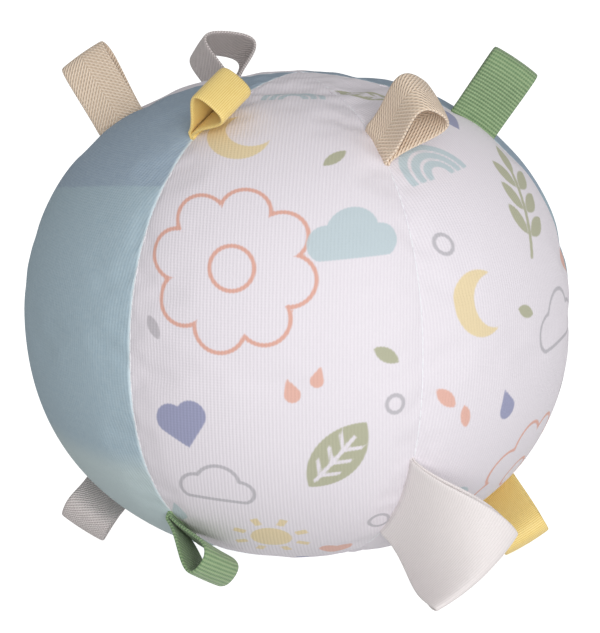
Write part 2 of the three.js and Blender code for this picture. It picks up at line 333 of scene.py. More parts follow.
def lay_gore(bm, number, inset):
    """Bends one grid over the ball, half the gap short of each seam, its tips lapping at the poles."""
    cut = bm.loops.layers.uv["cloth_mm"]
    middle = seam_turn(number) + HALF_GORE
    apart = SEAM_GAP / 2 / math.sin(HALF_GORE)
    grid = bmesh.ops.create_grid(bm, x_segments=GORE_COLUMNS, y_segments=GORE_ROWS, size=1)
    for vert in grid["verts"]:
        even, latitude = vert.co.x, vert.co.y * QUARTER
        share = math.copysign(1 - (1 - abs(even)) ** SEAM_CROWDING, even)
        radius = outline(latitude)[0].x
        sunk = inset * (1 - abs(share) ** 2) * math.cos(latitude)
        shift = apart - POLE_LAP * max(0, 1 - radius / POLE_REACH)
        vert.co = cover_point(middle + share * HALF_GORE, share, latitude, sunk)
        vert.co += standing(Vector((shift, 0)), middle)
        flat = (share * HALF_GORE * radius, np.interp(latitude, latitudes, arc))
        for loop in vert.link_loops:
            loop[cut].uv = flat


bm = bmesh.new()
bm.loops.layers.uv.new("cloth_mm")
gore_of = bm.faces.layers.int.new("gore")
for number in range(1, GORE_COUNT + 1):
    first = len(bm.faces)
    lay_gore(bm, number, SWELL)
    bm.faces.ensure_lookup_table()
    for face in bm.faces[first:]:
        face[gore_of] = number
bmesh.ops.remove_doubles(bm, verts=bm.verts, dist=MERGE_DISTANCE)
bm.verts.index_update()
sewn = [v.index for v in bm.verts if v.is_boundary or v.co.z < -(REST_HEIGHT - CLEARANCE) * MM]
cover = piece_from(bm, "cover")
print("cover:", len(cover.data.vertices), "points,", len(sewn), "of them held")

# %% [markdown]
# Stuffing pushes the cloth out between the seams, which hold it back. Moving points by a formula
# gives a bulge without tension, so the Cloth simulation does it: the seams are pinned, a pressure
# acts from inside, and the cloth has a little spare length, which it lays in faint puckers along
# the stitching. Each point's travel is capped, and the result becomes the mesh.

# %% Stuff the cover
PRESSURE = 3.0
SPARE_LENGTH = 0.012
SWELL_FRAMES = 20
SWELL_CAP = 1.4


def stuff(piece, held):
    """Swells a pinned cloth by pressure and keeps the result, capped, as its mesh."""
    pins = piece.vertex_groups.new(name="sewn")
    pins.add(held, 1.0, "REPLACE")
    cloth = piece.modifiers.new("cloth", "CLOTH")
    settings = cloth.settings
    settings.quality = 6
    settings.mass = 0.1
    settings.tension_stiffness = 15
    settings.compression_stiffness = 15
    settings.shear_stiffness = 8
    settings.bending_stiffness = 0.3
    settings.air_damping = 2
    settings.vertex_group_mass = "sewn"
    settings.shrink_min = -SPARE_LENGTH
    settings.use_pressure = True
    settings.uniform_pressure_force = PRESSURE
    settings.effector_weights.gravity = 0
    cloth.point_cache.frame_start = 1
    cloth.point_cache.frame_end = SWELL_FRAMES
    for step in range(1, SWELL_FRAMES + 1):
        scene.frame_set(step)
    shown = piece.evaluated_get(bpy.context.evaluated_depsgraph_get()).data
    travelled = []
    for vert, end in zip(piece.data.vertices, shown.vertices):
        travel = end.co - vert.co
        travelled.append(travel.length / MM)
        vert.co += travel * min(1, SWELL_CAP * MM / max(travel.length, 1e-9))
    piece.modifiers.clear()
    scene.frame_set(1)
    return travelled


travelled = stuff(cover, sewn)
print("swell in mm: mean", round(np.mean(travelled), 2), "most", round(max(travelled), 2))

# %% [markdown]
# Real gores are sewn wrong side out, so their edges turn in at the seam. Each gore is split off, its
# edges are extruded down into the seam in a few steps, and a Subdivision Surface rounds the fold.
# That is applied at once, because the print is worked out at the points of the fine mesh.

# %% Turn in the edges
TURN_STEPS = (0.5, 1.0, 4.0)
COVER_THICKNESS = 0.9
GORE_LEVELS = 2


def outward(place):
    """The ball's outward normal near a place."""
    steep = BALL_FULLNESS - 1
    level = Vector((place.x, place.y, 0)) / (BALL_RADIUS * MM)
    up = place.z / (BALL_HALF_HEIGHT * MM)
    pull = level.normalized() * level.length ** steep / BALL_RADIUS
    pull.z = math.copysign(abs(up) ** steep / BALL_HALF_HEIGHT, up)
    return pull.normalized()


def split_gore(number):
    """One gore of the stuffed cover, with its edges turned in and its fine mesh."""
    bm = bmesh.new()
    bm.from_mesh(cover.data)
    gore_of = bm.faces.layers.int["gore"]
    others = [face for face in bm.faces if face[gore_of] != number]
    bmesh.ops.delete(bm, geom=others, context="FACES")
    for step in TURN_STEPS:
        edges = [edge for edge in bm.edges if edge.is_boundary]
        turned = bmesh.ops.extrude_edge_only(bm, edges=edges)["geom"]
        for vert in (v for v in turned if isinstance(v, bmesh.types.BMVert)):
            vert.co -= outward(vert.co) * step * MM
    gore = piece_from(bm, GORE_NAMES[number - 1].replace("gore", "cover"))
    subdivide(gore, GORE_LEVELS)
    settle(gore)
    return gore


gores = [split_gore(number) for number in range(1, GORE_COUNT + 1)]
bpy.data.objects.remove(cover)
print("points in one gore:", len(gores[0].data.vertices))

# %% [markdown]
# The white gores carry a scattered print in soft inks. Its motifs are plain nursery shapes: leaves,
# clouds, hearts, moons, daisies, drops, suns and rainbows. An image would fix the resolution, so
# each shape is a formula for the distance to its edge, in millimetres of the flat cloth. The least
# distance for each ink is stored at the mesh's points, and the material cuts a clean edge from it.

# %% Motifs as distances
VEIN = 0.9
FAR = 30.0


def disc(x, y, radius):
    """Distance to a round spot."""
    return np.hypot(x, y) - radius


def leaf(x, y, size):
    """A pointed oval with a bare midrib and side veins."""
    bow = 0.375 * size
    blade = np.maximum(np.hypot(x - bow, y), np.hypot(x + bow, y)) - 0.625 * size
    veins = np.maximum(np.abs(x) - VEIN / 2, np.abs(y + 0.05 * size) - 0.36 * size)
    for share in (-0.3, -0.1, 0.1):
        slant = np.abs(y - share * size - np.abs(x)) / math.sqrt(2) - VEIN / 2
        veins = np.minimum(veins, np.maximum(slant, np.abs(x) - 0.15 * size))
    return np.maximum(blade, -veins)


def petal(x, y, size):
    """A plain pointed oval."""
    bow = 0.45 * size
    reach = math.hypot(bow, size / 2)
    return np.maximum(np.hypot(x - bow, y), np.hypot(x + bow, y)) - reach


def sprig(x, y, size):
    """A thin stem with pairs of small leaves."""
    found = np.maximum(np.abs(x) - 0.6, np.abs(y) - 0.5 * size)
    for share in (-0.25, 0.0, 0.25):
        across, along = np.abs(x) - 0.16 * size, y - (share + 0.12) * size
        found = np.minimum(found, petal((across - along) / 1.41, (across + along) / 1.41, 0.36 * size))
    return np.minimum(found, petal(x, y - 0.58 * size, 0.36 * size))


def heart(x, y, size):
    """Two round lobes over a square that stands on its corner."""
    lobe = disc(np.abs(x) - 0.25 * size, y - 0.25 * size, 0.354 * size)
    return np.minimum(lobe, (np.abs(x) + np.abs(y)) / math.sqrt(2) - 0.354 * size)


def moon(x, y, size):
    """A crescent: one disc less another."""
    return np.maximum(disc(x, y, size / 2), -disc(x - 0.24 * size, y - 0.1 * size, 0.4 * size))


def cloud(x, y, size):
    """Three round puffs on a flat base."""
    puffs = [disc(x + 0.28 * size, y, 0.2 * size), disc(x - 0.28 * size, y + 0.02 * size, 0.19 * size)]
    puffs.append(disc(x, y - 0.1 * size, 0.28 * size))
    base = np.maximum(np.abs(x) - 0.3 * size, np.abs(y + 0.09 * size) - 0.1 * size)
    return np.maximum(np.minimum.reduce(puffs + [base]), -y - 0.18 * size)


def daisy(x, y, size):
    """A round of petals about an open middle."""
    turn = np.mod(np.arctan2(y, x), math.pi / 4) - math.pi / 8
    reach = np.hypot(x, y)
    petals = disc(reach * np.cos(turn) - 0.34 * size, reach * np.sin(turn), 0.15 * size)
    return np.maximum(np.minimum(petals, disc(x, y, 0.3 * size)), -disc(x, y, 0.13 * size))


def drop(x, y, size):
    """A rain drop, made of ever smaller discs."""
    shares = np.linspace(0, 1, 12)
    return np.minimum.reduce([disc(x, y - (0.62 * s - 0.2) * size, 0.28 * size * (1 - s)) for s in shares])


def sun(x, y, size):
    """A disc with eight short rays."""
    turn = np.mod(np.arctan2(y, x), math.pi / 4) - math.pi / 8
    reach = np.hypot(x, y)
    ray = np.maximum(np.abs(reach * np.sin(turn)) - 0.05 * size,
                     np.abs(reach * np.cos(turn) - 0.42 * size) - 0.08 * size)
    return np.minimum(disc(x, y, 0.26 * size), ray)


def rainbow(x, y, size):
    """Three nested bands over a flat base."""
    bands = [np.abs(disc(x, y, share * size)) - 0.05 * size for share in (0.2, 0.34, 0.48)]
    return np.maximum(np.minimum.reduce(bands), -y)


def ring(x, y, size):
    """A circle that is only drawn round."""
    return disc(x, y, size / 2)


print("motif formulas ready")

# %% [markdown]
# The printed gores share two layouts, each used on two opposite gores. Each lists the ink, the motif,
# its place across and up the flat cut, its size and its turn. The shapes of the first two inks below
# are drawn as lines along the zero of their distance, and the rest are filled.

# %% Lay out the print
LINE_INKS = ("coral_line", "grey_line")
FILL_INKS = ("sage", "coral", "slate", "aqua", "yellow", "grey")
PRINT_FRONT = (
    ("coral_line", daisy, -9, 22, 38, 12), ("sage", leaf, 14, -20, 21, -38),
    ("aqua", cloud, 17, 28, 21, 4), ("slate", heart, -20, -14, 10, 14),
    ("yellow", sun, -2, -48, 18, 0), ("grey_line", cloud, -13, -30, 18, -6),
    ("sage", petal, 25, 3, 7, 60), ("coral", drop, 4, -4, 6.5, 20), ("coral", drop, 10, -1, 5.5, -15),
    ("grey", petal, -27, 8, 6, 30), ("aqua", drop, -24, -40, 8, 10), ("sage", petal, 12, 49, 6.5, -50),
    ("yellow", moon, -10, 56, 15, 20), ("grey_line", ring, 27, -8, 4, 0), ("grey_line", ring, 23, -42, 5, 0),
    ("coral", heart, 12, -57, 6.5, -10), ("aqua", rainbow, 1, 72, 14, 0), ("slate", drop, 3, -72, 7, 0),
)
PRINT_SIDE = (
    ("sage", sprig, 8, 30, 24, -24), ("coral_line", daisy, 11, -36, 34, 0),
    ("yellow", moon, -18, 12, 15, -20), ("grey_line", cloud, 14, 2, 22, 8), ("slate", drop, -9, -12, 9, 24),
    ("aqua", rainbow, -14, 42, 18, 10), ("coral", petal, -28, -8, 7, 50), ("coral", petal, -22, -13, 6, 20),
    ("coral", heart, 28, 14, 7, 16), ("aqua", cloud, -14, -40, 17, -8), ("grey", petal, 29, -10, 6, -40),
    ("grey", petal, 24, -15, 5, -10), ("sage", petal, -3, 8, 6.5, 70), ("slate", heart, 6, 58, 8, -12),
    ("yellow", sun, 2, -62, 15, 10), ("grey_line", ring, -24, 26, 4.5, 0), ("sage", leaf, -6, 74, 12, 30),
)


def ink_distances(across, along, layout):
    """The distance to each ink's nearest motif, at points of the flat cut."""
    found = {ink: np.full(len(across), FAR) for ink in LINE_INKS + FILL_INKS}
    for ink, motif, u, v, size, turn in layout:
        cos, sin = math.cos(math.radians(turn)), math.sin(math.radians(turn))
        x = (across - u) * cos + (along - v) * sin
        y = (along - v) * cos - (across - u) * sin
        found[ink] = np.minimum(found[ink], motif(x, y, size))
    return found


def flat_places(mesh):
    """Each point's place on the flat cut, in mm."""
    corner_points = np.empty(len(mesh.loops), np.int32)
    mesh.loops.foreach_get("vertex_index", corner_points)
    corner_places = np.empty(2 * len(mesh.loops), np.float32)
    mesh.uv_layers["cloth_mm"].uv.foreach_get("vector", corner_places)
    places = np.zeros((len(mesh.vertices), 2))
    places[corner_points] = corner_places.reshape(-1, 2)
    return places[:, 0], places[:, 1]


def store(mesh, name, values):
    """Keeps one number for each point of a mesh."""
    mesh.attributes.new(name, "FLOAT", "POINT").data.foreach_set("value", values.astype(np.float32))


for number, gore in enumerate(gores, 1):
    across, along = flat_places(gore.data)
    store(gore.data, "seam_mm", HALF_GORE * np.interp(along, arc, meridian[:, 0]) - np.abs(across))
    if "print" in gore.name:
        layout = PRINT_FRONT if number in (1, 4) else PRINT_SIDE
        for ink, distance in ink_distances(across, along, layout).items():
            store(gore.data, "ink_" + ink, distance)
print("motifs on the front gore:", len(PRINT_FRONT))

# %% [markdown]
# Cotton interlock is a double knit: fine upright ribs, called wales, of small looped stitches, matt
# and slightly fuzzy. Two waves on the flat cut make it, one for the wales and one for the stitches.
# Ink soaks in unevenly, so the wales fray its edges and let some white through.

# %% White interlock with print
WALE_PITCH = 0.8
STITCH_PITCH = 0.62
STITCH_SHARE = 0.35
FUZZ_SHARE = 0.35
FRAY = 0.05
INK_SOFTNESS = 0.25
INK_STRENGTH = 0.92
LINE_HALF_WIDTH = 0.45
INK_COLOURS = {
    "coral_line": "dea593", "grey_line": "b9b6bc", "sage": "adae90", "coral": "e2ae9d",
    "slate": "8f93b5", "aqua": "bcccd2", "yellow": "e6d2a4", "grey": "bdb8be",
}


def knit_height(tree, place):
    """The wales, with their stitches, of an interlock knit."""
    wales = add(tree, "TexWave", {"Vector": place, "Scale": WAVE_PERIOD / WALE_PITCH, "Distortion": 0.5,
                                  "Detail": 2.0, "Detail Scale": 1.5}, bands_direction="X")
    stitches = add(tree, "TexWave", {"Vector": place, "Scale": WAVE_PERIOD / STITCH_PITCH, "Distortion": 1.2,
                                     "Detail": 2.0, "Detail Scale": 2.0}, bands_direction="Y")
    return wales, add(tree, "Math", {0: stitches, 1: STITCH_SHARE, 2: wales}, operation="MULTIPLY_ADD")


interlock, tree = new_material("cotton_interlock_printed")
place = add(tree, "UVMap", uv_map="cloth_mm")
wales, knit = knit_height(tree, place)
fuzz = add(tree, "TexNoise", {"Vector": place, "Scale": 0.9, "Detail": 5.0, "Roughness": 0.7})
# Painted shade: the knit's colour is a little darker in the grooves between the wales than on them
colour = mixed(tree, wales, "e3dde4", "eae5eb")
fuzzed = add(tree, "Math", {0: fuzz, 1: FUZZ_SHARE}, operation="MULTIPLY")
colour = mixed(tree, fuzzed, colour, "e4dde5")
fray = add(tree, "MapRange", {"Value": wales, "To Min": FRAY, "To Max": -FRAY})
for ink, shade in INK_COLOURS.items():
    distance = add(tree, "Attribute", attribute_name="ink_" + ink).outputs["Fac"]
    if ink in LINE_INKS:
        distance = add(tree, "Math", {0: distance}, operation="ABSOLUTE")
        distance = add(tree, "Math", {0: distance, 1: LINE_HALF_WIDTH}, operation="SUBTRACT")
    frayed = add(tree, "Math", {0: distance, 1: fray}, operation="ADD")
    cover_share = add(tree, "MapRange", {"Value": frayed, "From Min": INK_SOFTNESS, "From Max": -INK_SOFTNESS,
                                         "To Min": 0.0, "To Max": INK_STRENGTH},
                      interpolation_type="SMOOTHSTEP")
    colour = mixed(tree, cover_share, colour, shade)
finish_surface(tree, colour, knit, relief=0.042, Roughness=0.93, Sheen_Weight=0.1, Sheen_Roughness=0.5)
print("inks:", len(INK_COLOURS))

# %% [markdown]
# The blue gores are the same cotton with a brushed face, dyed in three blocks: slate blue on top, mid
# blue round the middle and pale aqua below. The upper block ends in a clean edge and the lower one
# in a soft wash. At the seam the fold is painted pale, which the distance from the seam gives: the
# dye shows thinner where the knit stretches over the fold, and the pale band is also a painted
# highlight along the fold.

# %% Blue brushed cotton
DARK_EDGE = 35.6
DARK_SLOPE = 0.18
PALE_EDGE = -26.0
WANDER = 3.0
# Where each fade starts and ends, in mm: the two blocks' past their edges, the pale fold's from the
# seam, where stretched dye and a painted highlight make the fold lighter
DARK_FADE = (1.2, 1.8)
PALE_FADE = (6, -3)
STRETCH_AND_HIGHLIGHT_FADE = (0.75, 0.25)

brushed, tree = new_material("brushed_cotton_blue_blocks")
place = add(tree, "UVMap", uv_map="cloth_mm")
flat = add(tree, "SeparateXYZ", {"Vector": place})
wander = add(tree, "TexNoise", {"Vector": place, "Scale": 0.06, "Detail": 4.0})
waved = add(tree, "Math", {0: wander, 1: WANDER, 2: flat.outputs["Y"]}, operation="MULTIPLY_ADD")
sloped = add(tree, "Math", {0: flat.outputs["X"], 1: -DARK_SLOPE, 2: waved}, operation="MULTIPLY_ADD")
dark = add(tree, "MapRange", {"Value": sloped, "From Min": DARK_EDGE + DARK_FADE[0],
                              "From Max": DARK_EDGE + DARK_FADE[1]})
pale = add(tree, "MapRange", {"Value": waved, "From Min": PALE_EDGE + PALE_FADE[0],
                              "From Max": PALE_EDGE + PALE_FADE[1]}, interpolation_type="SMOOTHSTEP")
colour = mixed(tree, dark, "a5bac6", "99abbd")
colour = mixed(tree, pale, colour, "c0d0d2")
mottle = add(tree, "TexNoise", {"Vector": place, "Scale": 0.8, "Detail": 6.0, "Roughness": 0.75})
mottle_share = add(tree, "MapRange", {"Value": mottle, "From Min": 0.35, "From Max": 0.65,
                                      "To Min": 0.0, "To Max": 0.25})
colour = mixed(tree, mottle_share, colour, "c9d6da")
# Partly a painted highlight: the fold at the seam is lighter because the dye thins where the knit stretches
# and because the rounded fold catches the light
from_seam = add(tree, "Attribute", attribute_name="seam_mm").outputs["Fac"]
stretch_and_highlight = add(tree, "MapRange", {"Value": from_seam, "From Min": STRETCH_AND_HIGHLIGHT_FADE[0], "From Max": STRETCH_AND_HIGHLIGHT_FADE[1],
                              "To Min": 0.0, "To Max": 0.8})
colour = mixed(tree, stretch_and_highlight, colour, "dceaf0")
knit = knit_height(tree, place)[1]
nap = add(tree, "Math", {0: mottle, 1: 2.0, 2: knit}, operation="MULTIPLY_ADD")
finish_surface(tree, colour, nap, relief=0.045, Roughness=0.95, Specular_IOR_Level=0.2)
print("blue blocks meet at", DARK_EDGE, "and", PALE_EDGE, "mm along the cut")

# %% [markdown]
# A gore gets its thickness from a Solidify modifier that grows inwards, so the outer face stays where
# it was stuffed. At the poles six tips meet and there is no room for it, so a vertex group thins the
# cloth there.

# %% Finish the gores
TIP_SHARE = 0.05


def thin_at_poles(gore):
    """A vertex group that is full, except close to the axis."""
    full = gore.vertex_groups.new(name="full_thickness")
    for vert in gore.data.vertices:
        full.add([vert.index], min(1, math.hypot(vert.co.x, vert.co.y) / (POLE_REACH * MM)), "REPLACE")
    return full.name


for node, gore in zip(GORE_NAMES, gores):
    printed = "print" in node
    dress(gore, interlock if printed else brushed, "ball", "cover_print" if printed else "cover_blue", node)
    wall = gore.modifiers.new("cloth_thickness", "SOLIDIFY")
    wall.thickness = COVER_THICKNESS * MM
    wall.offset = -1
    wall.vertex_group = thin_at_poles(gore)
    wall.thickness_vertex_group = TIP_SHARE

# %% [markdown]
# Each seam is sewn with a light thread, which shows as a row of small stitches down in the groove.
# A tube would look like piping, so every stitch is its own slim grain, laid along the seam and lapping
# the next one a little. Near the poles the groove runs out, so the stitches sink into the cloth there.

# %% Seam stitches
THREAD_DIAMETER = 0.5
STITCH_LENGTH = 2.6
STITCH_LAP = 0.2
STITCH_SINK = 0.16
THREAD_POLE_GAP = 4.0
PLY_SIZE = 0.4


def seam_point(latitude):
    """Where the thread lies at a latitude, with the outline's normal."""
    point, normal = outline(latitude)
    sunk = STITCH_SINK + THREAD_DIAMETER / 4 * max(0, 1 - point.x / SEAM_FADE_RADIUS)
    return point - normal * (seam_dip(point.x) + sunk), normal


def stitch_places():
    """The stitches of one seam: their places in the outline's plane, and the normals there."""
    places = []
    for run in np.arange(arc[0], arc[-1], STITCH_LENGTH - STITCH_LAP):
        latitude = float(np.interp(run, arc, latitudes))
        point, normal = seam_point(latitude)
        if point.x > THREAD_POLE_GAP and point.y - THREAD_DIAMETER > -REST_HEIGHT:
            places.append((point, normal))
    return places


# Spun polyester thread: smooth twisted filaments with a low gloss
material, tree = new_material("polyester_sewing_thread")
place = add(tree, "TexCoord").outputs["Object"]
ply = add(tree, "TexNoise", {"Vector": place, "Scale": 1 / (PLY_SIZE * MM), "Detail": 2.0})
finish_surface(tree, mixed(tree, ply, "e2e3e9", "f4f3f6"), ply, relief=0.05, Roughness=0.6,
               Sheen_Weight=0.2)

for seam in range(1, GORE_COUNT + 1):
    bm = bmesh.new()
    turn = seam_turn(seam)
    for point, normal in stitch_places():
        out = standing(normal, turn).normalized()
        aside = Vector((-math.sin(turn), math.cos(turn), 0))
        axes = Matrix((aside, out, aside.cross(out))).transposed().to_4x4()
        slim = Matrix.Diagonal((THREAD_DIAMETER / 2, THREAD_DIAMETER / 2, STITCH_LENGTH / 2)) * MM
        bmesh.ops.create_uvsphere(bm, u_segments=8, v_segments=6, radius=1,
                                  matrix=Matrix.Translation(standing(point, turn)) @ axes @ slim.to_4x4())
    stitches = piece_from(bm, f"seam_stitches_{seam}")
    dress(stitches, material, "ball", "seam_thread", f"seam_thread_{seam}")
print("stitches in a seam:", len(stitch_places()))

# %% [markdown]
# A tape loop is a strip folded in half with both ends in the seam. Its side is a curve that rises
# straight from the seam, bulges and closes over the top. A strip could be swept along it, but a
# grid that is bent along the curve keeps the weave's directions in its UV map. The loop then leans
# about its foot, as it flops on the real ball, its foot follows the curve of the seam, and its two
# ends turn straight down into it, so it bends at its foot.

# %% Loop helpers
TAPE_WIDTH = 13.0
TAPE_THICKNESS = 0.8
LABEL_WIDTH = 26.0
LABEL_THICKNESS = 0.6
LOOP_NECK = 0.45
CROWN_SHARE = 4 / 9
LEG_GAP = 0.1
FOOT_TAIL = 2.2
BEND_STEP = 0.02
SIDE_POINTS = 60


def loop_line(height, bulge, thickness, tilt):
    """The middle line of a folded strip from end to end, and the length along it, in mm."""
    tail = FOOT_TAIL * np.array([math.sin(tilt), -math.cos(tilt)])
    foot = (thickness + LEG_GAP) / 2
    top = height - thickness / 2
    crown = (bulge - thickness / 2) / CROWN_SHARE
    handles = np.array([[foot, 0], [foot, top * LOOP_NECK], [crown, top], [0, top]])
    t = np.linspace(0, 1, SIDE_POINTS)[:, None]
    weights = [(1 - t) ** 3, 3 * t * (1 - t) ** 2, 3 * t ** 2 * (1 - t), t ** 3]
    side = sum(w * h for w, h in zip(weights, handles))
    far_side = side[-2::-1] * (-1, 1)
    line = np.vstack([side[0] + tail, side, far_side, far_side[-1] + tail])
    return line, np.concatenate([[0], np.cumsum(np.linalg.norm(np.diff(line, axis=0), axis=1))])


def seam_bend(latitude):
    """How tightly the seam curves at a latitude, from three points along it."""
    before, here, after = (outline(latitude + step)[0] for step in (-BEND_STEP, 0, BEND_STEP))
    return 8 * (here - (before + after) / 2).length / (after - before).length_squared


hinges = {j["child"]: Vector(j["pos_m"]) for j in frame["joints"] if j["type"] == "hinge"}


def loop_frame(node, seam, latitude, tilt):
    """A loop's own axes: towards the next seam, out of the ball and along the seam, leaning by tilt."""
    turn = seam_turn(seam)
    aside = Vector((-math.sin(turn), math.cos(turn), 0))
    out = standing(outline(latitude)[1], turn).normalized()
    axes = Matrix((aside, out, aside.cross(out))).transposed().to_4x4()
    return Matrix.Translation(hinges[node]) @ axes @ Matrix.Rotation(-tilt, 4, "Z")


def fold_strip(name, node, width, thickness, shape, rows=64, columns=10):
    """A folded strip of tape, caught in a seam, with its own axes and its cut length in mm."""
    seam, latitude, height, bulge, tilt, twist = shape
    axes = loop_frame(node, seam, math.radians(latitude), math.radians(tilt))
    line, run = loop_line(height, bulge, thickness, math.radians(tilt))
    bend = seam_bend(math.radians(latitude))
    bm = bmesh.new()
    cut = bm.loops.layers.uv.new("cloth_mm")
    grid = bmesh.ops.create_grid(bm, x_segments=rows, y_segments=columns, size=1)
    for vert in grid["verts"]:
        along, aside = (vert.co.x + 1) / 2 * run[-1], vert.co.y * (width - thickness) / 2
        x, y = (float(np.interp(along, run, line[:, axis])) for axis in (0, 1))
        turn = -math.radians(twist) * (1 - math.cos(QUARTER * min(1, max(0, y) / height)))
        vert.co = Matrix.Rotation(turn, 3, "Y") @ Vector((x, y - bend * aside ** 2 / 2, aside)) * MM
        for loop in vert.link_loops:
            loop[cut].uv = (aside, along)
    bmesh.ops.transform(bm, verts=bm.verts, matrix=axes)
    strip = piece_from(bm, name)
    wall = strip.modifiers.new("weave_thickness", "SOLIDIFY")
    wall.thickness = thickness * MM
    wall.offset = 0
    subdivide(strip, 1)
    return strip, axes, run[-1]


def sew_in(name, node, material, slot, width, thickness, shape, **grid):
    """Folds and dresses a strip whose ends turn down into the seam and whose loop leans. Gives its length."""
    strip, axes, length = fold_strip(name, node, width, thickness, shape, **grid)
    dress(strip, material, None, slot, node)
    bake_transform(strip)
    return length


print("seam bend at 45 degrees:", round(seam_bend(math.radians(45)), 4), "per mm")

# %% [markdown]
# Four narrow tapes are used. Each weave is one height pattern on the strip's own UV map: grosgrain and
# ribbed ribbon have cords across the tape, twill has a slant, and herringbone is a twill that turns
# back every few millimetres. The weave's valleys are painted darker as shade, and a slow noise varies
# the dye.

# %% Tape materials
YARN_SHARE = 0.4


def woven(name, shaded_valley, crest, pitch, slant=0.0, zigzag=0.0, yarn=0.5, relief=0.12, **sockets):
    """A woven tape: ribs at a pitch, leaning by slant, turning back every zigzag mm; its valleys get painted
    shade.
    """
    material, tree = new_material(name)
    place = add(tree, "UVMap", uv_map="cloth_mm")
    flat = add(tree, "SeparateXYZ", {"Vector": place})
    lean = flat.outputs["X"]
    if zigzag:
        lean = add(tree, "Math", {0: lean, 1: zigzag}, operation="PINGPONG")
    shifted = add(tree, "Math", {0: lean, 1: slant, 2: flat.outputs["Y"]}, operation="MULTIPLY_ADD")
    sheared = add(tree, "CombineXYZ", {"X": flat.outputs["X"], "Y": shifted})
    ribs = add(tree, "TexWave", {"Vector": sheared, "Scale": WAVE_PERIOD / pitch, "Distortion": 0.35,
                                 "Detail": 2.0, "Detail Scale": 1.0}, bands_direction="Y")
    yarns = add(tree, "TexWave", {"Vector": sheared, "Scale": WAVE_PERIOD / yarn, "Distortion": 0.6,
                                  "Detail": 1.0}, bands_direction="X")
    height = add(tree, "Math", {0: yarns, 1: YARN_SHARE, 2: ribs}, operation="MULTIPLY_ADD")
    dye = add(tree, "TexNoise", {"Vector": place, "Scale": 0.5, "Detail": 5.0, "Roughness": 0.7})
    # Painted shade: the weave's valleys take the darker colour, and the real dye noise shifts that a little
    # either way
    valley_shade = add(tree, "MapRange", {"Value": height, "From Min": 0.0, "From Max": 1.1})
    shade = add(tree, "MapRange", {"Value": dye, "From Min": 0.3, "From Max": 0.7,
                                   "To Min": -0.1, "To Max": 0.1})
    share = add(tree, "Math", {0: valley_shade, 1: shade}, operation="ADD", use_clamp=True)
    finish_surface(tree, mixed(tree, share, shaded_valley, crest), height, relief, **sockets)
    return material


TAPES = {
    "yellow": woven("ribbed_ribbon_yellow", "dfb95c", "f7df92", pitch=0.45, yarn=0.4, relief=0.04,
                    Roughness=0.5, Sheen_Weight=0.15),
    "cream": woven("herringbone_cotton_tape_cream", "d6bca1", "f2dfca", pitch=1.0, slant=1.0, zigzag=6.5,
                   yarn=0.8, relief=0.2, Roughness=0.9, Sheen_Weight=0.15),
    "green": woven("grosgrain_ribbon_green", "5f8057", "93ac7f", pitch=0.88, yarn=0.6, relief=0.14,
                   Roughness=0.65, Sheen_Weight=0.2),
    "grey": woven("twill_tape_grey", "aea5a3", "e2dad8", pitch=0.75, slant=0.7, relief=0.16,
                  Roughness=0.85, Sheen_Weight=0.15),
}
print("tapes:", list(TAPES))

# %% [markdown]
# Eleven loops go round the ball, six above the middle and five below. The list gives each loop's seam,
# its latitude, its height and bulge, how far it leans towards the next seam and its tip's twist.

# %% Tape loops
LOOPS = {
    "tag_top_1_yellow": (1, 54, 12, 4.4, 46, 0),
    "tag_top_2_cream": (2, 47, 16, 5.2, 33, 0),
    "tag_top_3_green": (3, 48, 17, 3, 0, 0),
    "tag_top_4_yellow": (4, 34, 16, 3.6, 54, 0),
    "tag_top_5_grey": (5, 48, 16.5, 7, -8, 0),
    "tag_top_6_cream": (6, 47, 19.5, 3, -28, 0),
    "tag_bottom_1_green": (1, -42.5, 17, 3.6, 60, -15),
    "tag_bottom_3_yellow": (3, -42, 18, 3, -44, 15),
    "tag_bottom_4_cream": (4, -39, 14, 3.6, 22, 0),
    "tag_bottom_5_yellow": (5, -39, 14, 3.6, -18, 0),
    "tag_bottom_6_grey": (6, -44, 14.5, 4.2, 50, -12),
}

for node, shape in LOOPS.items():
    colour_name = node.rsplit("_", 1)[1]
    length = sew_in(node.replace("tag", "tape_loop"), node, TAPES[colour_name], "tape_" + colour_name,
                    TAPE_WIDTH, TAPE_THICKNESS, shape)
    print(node, "tape in mm:", round(length, 1))

# %% [markdown]
# The label is a wider folded strip of woven satin, left bare. It is thin and lively, so its tip twists
# away from the seam.

# %% Folded label
LABEL = (2, -31, 25, 1.6, 24, 65)

material = woven("woven_satin_label", "dcd5d4", "e8e1e0", pitch=0.5, yarn=0.35, relief=0.03,
                 Roughness=0.5, Sheen_Weight=0.2)
length = sew_in("label_folded_satin", "folded_label", material, "label_satin", LABEL_WIDTH, LABEL_THICKNESS,
                LABEL, rows=96, columns=24)
print("label strip in mm:", LABEL_WIDTH, "by", round(length, 1))

# %% [markdown]
# The filling is two wads of loose fibre that close round the rattle. Each is spun from a half outline:
# along the cover's inside, in along the parting and back round the pocket. The seams' turned-in
# edges press grooves into it, and a noise makes its skin lumpy.

# %% Filling
FILLING_INSET = 1.6
GROOVE_DEPTH = 7.0
GROOVE_SHARPNESS = 24
POCKET_RADIUS = 15.4
PARTING = 0.2
SPIN_STEPS = 96
LUMP = 0.35
LUMP_SIZE = 6
STRAND_SIZE = 1.2
PROFILE_POINTS = 28
LOWEST_ANGLE = 0.01

# Polyester fibre: fine white crimped strands that scatter light
material, tree = new_material("polyester_fibre_filling")
place = add(tree, "TexCoord").outputs["Object"]
strands = add(tree, "TexNoise", {"Vector": place, "Scale": 1 / (STRAND_SIZE * MM), "Detail": 8.0,
                                 "Distortion": 2.5})
finish_surface(tree, mixed(tree, strands, "dedcd6", "fbfaf7"), strands, relief=0.8, Roughness=0.95,
               Sheen_Weight=0.5)


